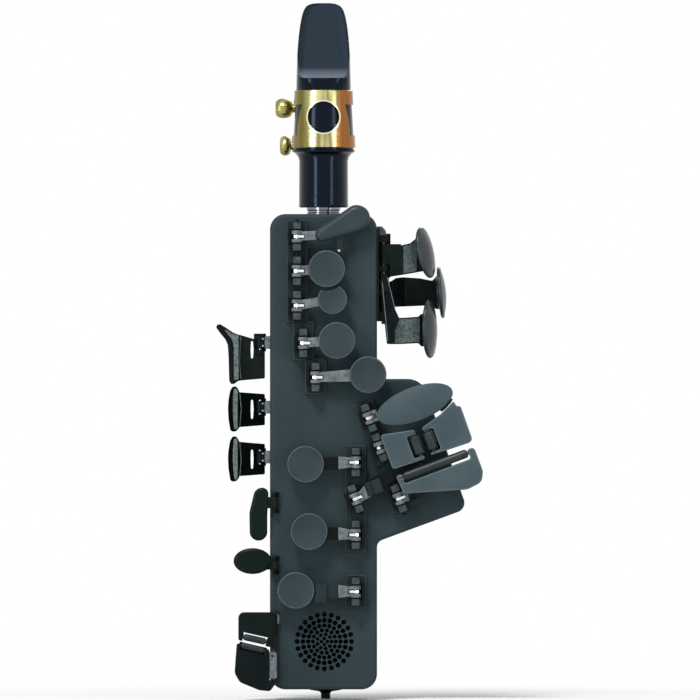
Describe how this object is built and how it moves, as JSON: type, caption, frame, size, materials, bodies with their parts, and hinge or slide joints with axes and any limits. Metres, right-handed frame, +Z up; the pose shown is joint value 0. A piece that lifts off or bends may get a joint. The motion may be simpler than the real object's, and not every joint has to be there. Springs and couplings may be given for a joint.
{
  "type": "digital wind controller",
  "caption": "Handheld electronic wind controller with a reed mouthpiece, sprung saxophone-style keys on a slim case, and a strap ring on the back.",
  "frame": {"origin": "middle of the eye of the strap ring on the back of the case", "axes": "+Z up the instrument towards the mouthpiece tip, +Y out of the back, +X to the side of the palm keys and the wing as seen from the front"},
  "size_m": [0.1201, 0.0708, 0.3139],
  "materials": {
    "case": "satin moulded case",
    "touch": "satin moulded key",
    "lever": "satin moulded lever",
    "black_part": "fine textured plastic",
    "ebonite": "polished hard rubber",
    "gold": "polished lacquer",
    "steel": "bright",
    "cane": "dry cane",
    "cork": "waxed cork",
    "board": "circuit board",
    "cell": "pouch foil",
    "tube": "soft tube"
  },
  "bodies": {
    "case": {"front_cover": "case", "back_cover": "case", "left_key_frame": "lever", "palm_rail": "black_part", "palm_rod": "steel", "mouthpiece": "ebonite", "reed": "cane", "ligature": "gold", "neck_tenon": "ebonite", "tenon_cork": "cork", "drain_spout": "black_part", "air_tube": "tube", "breath_sensor": "steel", "main_board": "board", "speaker_driver": "black_part", "battery": "cell", "usb_socket": "steel", "left_stack_rail": "case", "left_stack_rod": "steel", "right_stack_rail": "case", "right_d_bracket": "case", "pinky_bracket": "black_part", "table_rail": "case", "table_rod": "steel", "low_b_flat_bracket": "case", "thumb_rest": "black_part", "thumb_hook": "black_part", "strap_ring": "steel"},
    "front_f_key": {"front_f_key": "touch"},
    "b_key": {"b_key": "touch"},
    "bis_key": {"bis_key": "touch"},
    "a_key": {"a_key": "touch"},
    "g_key": {"g_key": "touch"},
    "right_f_key": {"right_f_key": "touch"},
    "right_e_key": {"right_e_key": "touch"},
    "right_d_key": {"right_d_key": "touch"},
    "g_sharp_key": {"g_sharp_key": "touch"},
    "c_sharp_key": {"c_sharp_key": "touch"},
    "low_b_key": {"low_b_key": "touch"},
    "low_b_flat_key": {"low_b_flat_key": "touch"},
    "palm_d_key": {"palm_d_key": "black_part"},
    "palm_e_flat_key": {"palm_e_flat_key": "black_part"},
    "palm_f_key": {"palm_f_key": "black_part"},
    "side_e_key": {"side_e_key": "black_part"},
    "side_c_key": {"side_c_key": "black_part"},
    "side_b_flat_key": {"side_b_flat_key": "black_part"},
    "fork_f_sharp_key": {"fork_f_sharp_key": "black_part"},
    "high_f_sharp_key": {"high_f_sharp_key": "black_part"},
    "e_flat_key": {"e_flat_key": "black_part"},
    "low_c_key": {"low_c_key": "black_part"},
    "octave_key": {"octave_key": "black_part"},
    "table_roller_left": {"table_roller_left": "touch"},
    "table_roller_right": {"table_roller_right": "touch"},
    "table_roller_long": {"table_roller_long": "touch"},
    "pinky_roller_upper": {"pinky_roller_upper": "black_part"},
    "pinky_roller_lower": {"pinky_roller_lower": "black_part"},
    "ligature_screw_upper": {"ligature_screw_upper": "gold"},
    "ligature_screw_lower": {"ligature_screw_lower": "gold"},
    "power_button": {"power_button": "lever"}
  },
  "joints": [
    {"name": "front_f_key_hinge", "type": "hinge", "parent": "case", "child": "front_f_key", "pos_m": [-0.01191, -0.0479, 0.05406], "axis": [0, 0, 1], "range_deg": [0, 5], "stiffness_Nm_per_rad": 0.01, "springref_deg": -22.92},
    {"name": "b_key_hinge", "type": "hinge", "parent": "case", "child": "b_key", "pos_m": [-0.01191, -0.0479, 0.03852], "axis": [0, 0, 1], "range_deg": [0, 8], "stiffness_Nm_per_rad": 0.01, "springref_deg": -22.92},
    {"name": "bis_key_hinge", "type": "hinge", "parent": "case", "child": "bis_key", "pos_m": [-0.01191, -0.0479, 0.02301], "axis": [0, 0, 1], "range_deg": [0, 8], "stiffness_Nm_per_rad": 0.01, "springref_deg": -22.92},
    {"name": "a_key_hinge", "type": "hinge", "parent": "case", "child": "a_key", "pos_m": [-0.00906, -0.0479, 0.00612], "axis": [0, 0, 1], "range_deg": [0, 8], "stiffness_Nm_per_rad": 0.01, "springref_deg": -22.92},
    {"name": "g_key_hinge", "type": "hinge", "parent": "case", "child": "g_key", "pos_m": [-0.00357, -0.0479, -0.00931], "axis": [0, 0, 1], "range_deg": [0, 5], "stiffness_Nm_per_rad": 0.01, "springref_deg": -22.92},
    {"name": "right_f_key_hinge", "type": "hinge", "parent": "case", "child": "right_f_key", "pos_m": [0.01446, -0.0479, -0.04751], "axis": [0, 0, -1], "range_deg": [0, 5], "stiffness_Nm_per_rad": 0.01, "springref_deg": -22.92},
    {"name": "right_e_key_hinge", "type": "hinge", "parent": "case", "child": "right_e_key", "pos_m": [0.01446, -0.0479, -0.08014], "axis": [0, 0, -1], "range_deg": [0, 5], "stiffness_Nm_per_rad": 0.01, "springref_deg": -22.92},
    {"name": "right_d_key_hinge", "type": "hinge", "parent": "case", "child": "right_d_key", "pos_m": [0.01446, -0.0479, -0.10569], "axis": [0, 0, -1], "range_deg": [0, 4.5], "stiffness_Nm_per_rad": 0.01, "springref_deg": -22.92},
    {"name": "g_sharp_key_hinge", "type": "hinge", "parent": "case", "child": "g_sharp_key", "pos_m": [0.0204, -0.0479, -0.02761], "axis": [-0.3502, 0, 0.9367], "range_deg": [0, 5], "stiffness_Nm_per_rad": 0.01, "springref_deg": -22.92},
    {"name": "c_sharp_key_hinge", "type": "hinge", "parent": "case", "child": "c_sharp_key", "pos_m": [0.02538, -0.0479, -0.04092], "axis": [-0.3502, 0, 0.9367], "range_deg": [0, 8], "stiffness_Nm_per_rad": 0.01, "springref_deg": -22.92},
    {"name": "low_b_key_hinge", "type": "hinge", "parent": "case", "child": "low_b_key", "pos_m": [0.01443, -0.0479, -0.06391], "axis": [-0.3502, 0, 0.9367], "range_deg": [0, 3.2], "stiffness_Nm_per_rad": 0.01, "springref_deg": -22.92},
    {"name": "low_b_flat_key_hinge", "type": "hinge", "parent": "case", "child": "low_b_flat_key", "pos_m": [0.03396, -0.0479, -0.06387], "axis": [-0.3502, 0, 0.9367], "range_deg": [0, 4], "stiffness_Nm_per_rad": 0.01, "springref_deg": -22.92},
    {"name": "palm_d_key_hinge", "type": "hinge", "parent": "case", "child": "palm_d_key", "pos_m": [0.0269, -0.0371, 0.0461], "axis": [0, 0, 1], "range_deg": [0, 6], "stiffness_Nm_per_rad": 0.01, "springref_deg": -22.92},
    {"name": "palm_e_flat_key_hinge", "type": "hinge", "parent": "case", "child": "palm_e_flat_key", "pos_m": [0.0269, -0.0371, 0.02389], "axis": [0, 0, 1], "range_deg": [0, 6], "stiffness_Nm_per_rad": 0.01, "springref_deg": -22.92},
    {"name": "palm_f_key_hinge", "type": "hinge", "parent": "case", "child": "palm_f_key", "pos_m": [0.0269, -0.0371, 0.0341], "axis": [0, 0, 1], "range_deg": [0, 6], "stiffness_Nm_per_rad": 0.01, "springref_deg": -22.92},
    {"name": "side_e_key_hinge", "type": "hinge", "parent": "case", "child": "side_e_key", "pos_m": [-0.0286, -0.0363, 0.00638], "axis": [0, 0, -1], "range_deg": [0, 8], "stiffness_Nm_per_rad": 0.01, "springref_deg": -22.92},
    {"name": "side_c_key_hinge", "type": "hinge", "parent": "case", "child": "side_c_key", "pos_m": [-0.0286, -0.0363, -0.02275], "axis": [0, 0, -1], "range_deg": [0, 8], "stiffness_Nm_per_rad": 0.01, "springref_deg": -22.92},
    {"name": "side_b_flat_key_hinge", "type": "hinge", "parent": "case", "child": "side_b_flat_key", "pos_m": [-0.0286, -0.0363, -0.04524], "axis": [0, 0, -1], "range_deg": [0, 8], "stiffness_Nm_per_rad": 0.01, "springref_deg": -22.92},
    {"name": "fork_f_sharp_key_hinge", "type": "hinge", "parent": "case", "child": "fork_f_sharp_key", "pos_m": [-0.022, -0.0444, -0.0657], "axis": [0, 0, -1], "range_deg": [0, 8], "stiffness_Nm_per_rad": 0.01, "springref_deg": -22.92},
    {"name": "high_f_sharp_key_hinge", "type": "hinge", "parent": "case", "child": "high_f_sharp_key", "pos_m": [-0.022, -0.0444, -0.09382], "axis": [0, 0, -1], "range_deg": [0, 8], "stiffness_Nm_per_rad": 0.01, "springref_deg": -22.92},
    {"name": "e_flat_key_hinge", "type": "hinge", "parent": "case", "child": "e_flat_key", "pos_m": [-0.02261, -0.0455, -0.12029], "axis": [0, 0, -1], "range_deg": [0, 8], "stiffness_Nm_per_rad": 0.01, "springref_deg": -22.92},
    {"name": "low_c_key_hinge", "type": "hinge", "parent": "case", "child": "low_c_key", "pos_m": [-0.02261, -0.0455, -0.13891], "axis": [0, 0, -1], "range_deg": [0, 8], "stiffness_Nm_per_rad": 0.01, "springref_deg": -22.92},
    {"name": "octave_key_hinge", "type": "hinge", "parent": "case", "child": "octave_key", "pos_m": [0, -0.0037, 0.05371], "axis": [-1, 0, 0], "range_deg": [0, 6], "stiffness_Nm_per_rad": 0.01, "springref_deg": -22.92},
    {"name": "table_roller_left_spin", "type": "hinge", "parent": "c_sharp_key", "child": "table_roller_left", "pos_m": [0.04208, -0.0543, -0.03991], "axis": [-0.3502, 0, 0.9367], "continuous": true},
    {"name": "table_roller_right_spin", "type": "hinge", "parent": "low_b_key", "child": "table_roller_right", "pos_m": [0.04802, -0.0543, -0.03777], "axis": [-0.3502, 0, 0.9367], "continuous": true},
    {"name": "table_roller_long_spin", "type": "hinge", "parent": "low_b_flat_key", "child": "table_roller_long", "pos_m": [0.05036, -0.0548, -0.04866], "axis": [-0.9367, 0, -0.3502], "continuous": true},
    {"name": "pinky_roller_upper_spin", "type": "hinge", "parent": "e_flat_key", "child": "pinky_roller_upper", "pos_m": [-0.0309, -0.0479, -0.12709], "axis": [-0.9763, 0, 0.2164], "continuous": true},
    {"name": "pinky_roller_lower_spin", "type": "hinge", "parent": "low_c_key", "child": "pinky_roller_lower", "pos_m": [-0.03181, -0.0479, -0.13101], "axis": [-0.9732, 0, 0.23], "continuous": true},
    {"name": "ligature_screw_upper_turn", "type": "hinge", "parent": "case", "child": "ligature_screw_upper", "pos_m": [-0.0126, -0.01082, 0.1122], "axis": [-1, 0, 0], "range_deg": [-720, 0]},
    {"name": "ligature_screw_lower_turn", "type": "hinge", "parent": "case", "child": "ligature_screw_lower", "pos_m": [-0.0126, -0.01082, 0.09529], "axis": [-1, 0, 0], "range_deg": [-720, 0]},
    {"name": "power_button_push", "type": "slide", "parent": "case", "child": "power_button", "axis": [0, -1, 0], "range_m": [0, 0.0006], "stiffness_N_per_m": 800, "springref_m": -0.0006}
  ]
}
